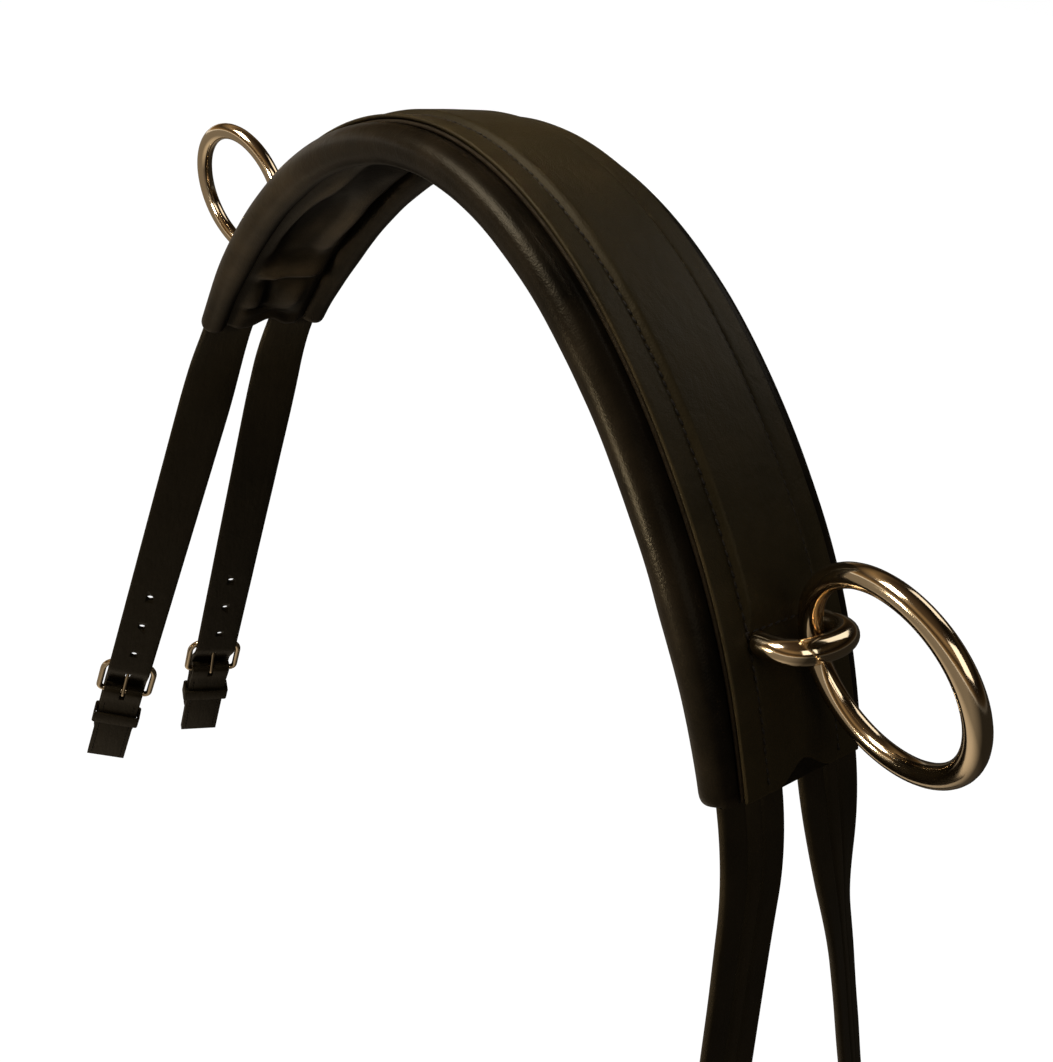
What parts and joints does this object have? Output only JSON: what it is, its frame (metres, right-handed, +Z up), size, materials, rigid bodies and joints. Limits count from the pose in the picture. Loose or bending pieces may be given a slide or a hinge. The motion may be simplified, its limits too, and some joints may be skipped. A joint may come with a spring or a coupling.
{
  "type": "driving harness neck strap",
  "caption": "Padded leather neck strap of a driving harness, arched over the neck, with a rein ring on each side and buckled straps hanging from its split ends.",
  "frame": {"origin": "on the mid plane, at the lowest level of the pad's underside at its crown, where it rests on the neck", "axes": "+X to the object's right leg as seen from the front edge, -Y towards the front edge, +Z up"},
  "size_m": [0.6073, 0.1989, 0.5317],
  "materials": {
    "leather_outer": "satin black-brown bridle leather",
    "leather_lining": "soft glossy black lining leather",
    "leather_strap": "satin black-brown strap leather",
    "foam": "open foam",
    "filler_felt": "pressed felt",
    "polished_nickel": "polished",
    "plated_steel": "plated"
  },
  "bodies": {
    "pad": {"base_strap": "leather_outer", "foam_core": "foam", "left_front_burr": "plated_steel", "left_front_strap_root": "leather_strap", "left_rear_burr": "plated_steel", "left_rear_strap_root": "leather_strap", "left_ring_staple": "polished_nickel", "left_staple_plate": "plated_steel", "pad_lining": "leather_lining", "panel_filler": "filler_felt", "right_front_burr": "plated_steel", "right_front_strap_root": "leather_strap", "right_rear_burr": "plated_steel", "right_rear_strap_root": "leather_strap", "right_ring_staple": "polished_nickel", "right_staple_plate": "plated_steel", "top_cover": "leather_outer"},
    "left_front_strap": {"left_front_billet": "leather_strap", "left_front_buckle_frame": "polished_nickel", "left_front_chape": "leather_strap", "left_front_keeper": "leather_strap"},
    "left_front_tongue": {"left_front_buckle_tongue": "polished_nickel"},
    "left_rear_strap": {"left_rear_billet": "leather_strap", "left_rear_buckle_frame": "polished_nickel", "left_rear_chape": "leather_strap", "left_rear_keeper": "leather_strap"},
    "left_rear_tongue": {"left_rear_buckle_tongue": "polished_nickel"},
    "left_ring": {"left_rein_ring": "polished_nickel"},
    "right_front_strap": {"right_front_billet": "leather_strap", "right_front_buckle_frame": "polished_nickel", "right_front_chape": "leather_strap", "right_front_keeper": "leather_strap"},
    "right_front_tongue": {"right_front_buckle_tongue": "polished_nickel"},
    "right_rear_strap": {"right_rear_billet": "leather_strap", "right_rear_buckle_frame": "polished_nickel", "right_rear_chape": "leather_strap", "right_rear_keeper": "leather_strap"},
    "right_rear_tongue": {"right_rear_buckle_tongue": "polished_nickel"},
    "right_ring": {"right_rein_ring": "polished_nickel"}
  },
  "joints": [
    {"name": "left_ring_swing", "type": "hinge", "parent": "pad", "child": "left_ring", "pos_m": [-0.18407, 0, -0.08671], "axis": [-0.5944, 0, -0.8042], "range_deg": [-60, 90]},
    {"name": "right_ring_swing", "type": "hinge", "parent": "pad", "child": "right_ring", "pos_m": [0.18362, 0.003, -0.0876], "axis": [0.5599, 0, -0.8285], "range_deg": [-90, 60]},
    {"name": "left_front_strap_swing", "type": "hinge", "parent": "pad", "child": "left_front_strap", "pos_m": [-0.19687, -0.0182, -0.1315], "axis": [0, -1, 0], "range_deg": [-50, 42]},
    {"name": "left_front_tongue_lift", "type": "hinge", "parent": "left_front_strap", "child": "left_front_tongue", "pos_m": [-0.28256, -0.05814, -0.43609], "axis": [-0.4258, -0.8744, 0.2328], "range_deg": [0, 5]},
    {"name": "left_rear_strap_swing", "type": "hinge", "parent": "pad", "child": "left_rear_strap", "pos_m": [-0.19687, 0.0182, -0.1315], "axis": [0, -1, 0], "range_deg": [-50, 42]},
    {"name": "left_rear_tongue_lift", "type": "hinge", "parent": "left_rear_strap", "child": "left_rear_tongue", "pos_m": [-0.28342, 0.00617, -0.43832], "axis": [-0.2573, -0.9603, 0.1074], "range_deg": [0, 5]},
    {"name": "right_front_strap_swing", "type": "hinge", "parent": "pad", "child": "right_front_strap", "pos_m": [0.19322, -0.0182, -0.13345], "axis": [0, 1, 0], "range_deg": [-50, 42]},
    {"name": "right_front_tongue_lift", "type": "hinge", "parent": "right_front_strap", "child": "right_front_tongue", "pos_m": [0.27814, -0.04248, -0.44023], "axis": [-0.0479, 0.9942, -0.0962], "range_deg": [0, 5]},
    {"name": "right_rear_strap_swing", "type": "hinge", "parent": "pad", "child": "right_rear_strap", "pos_m": [0.19322, 0.0182, -0.13345], "axis": [0, 1, 0], "range_deg": [-50, 42]},
    {"name": "right_rear_tongue_lift", "type": "hinge", "parent": "right_rear_strap", "child": "right_rear_tongue", "pos_m": [0.27593, 0.08938, -0.43312], "axis": [-0.505, 0.8589, 0.085], "range_deg": [0, 5]}
  ]
}
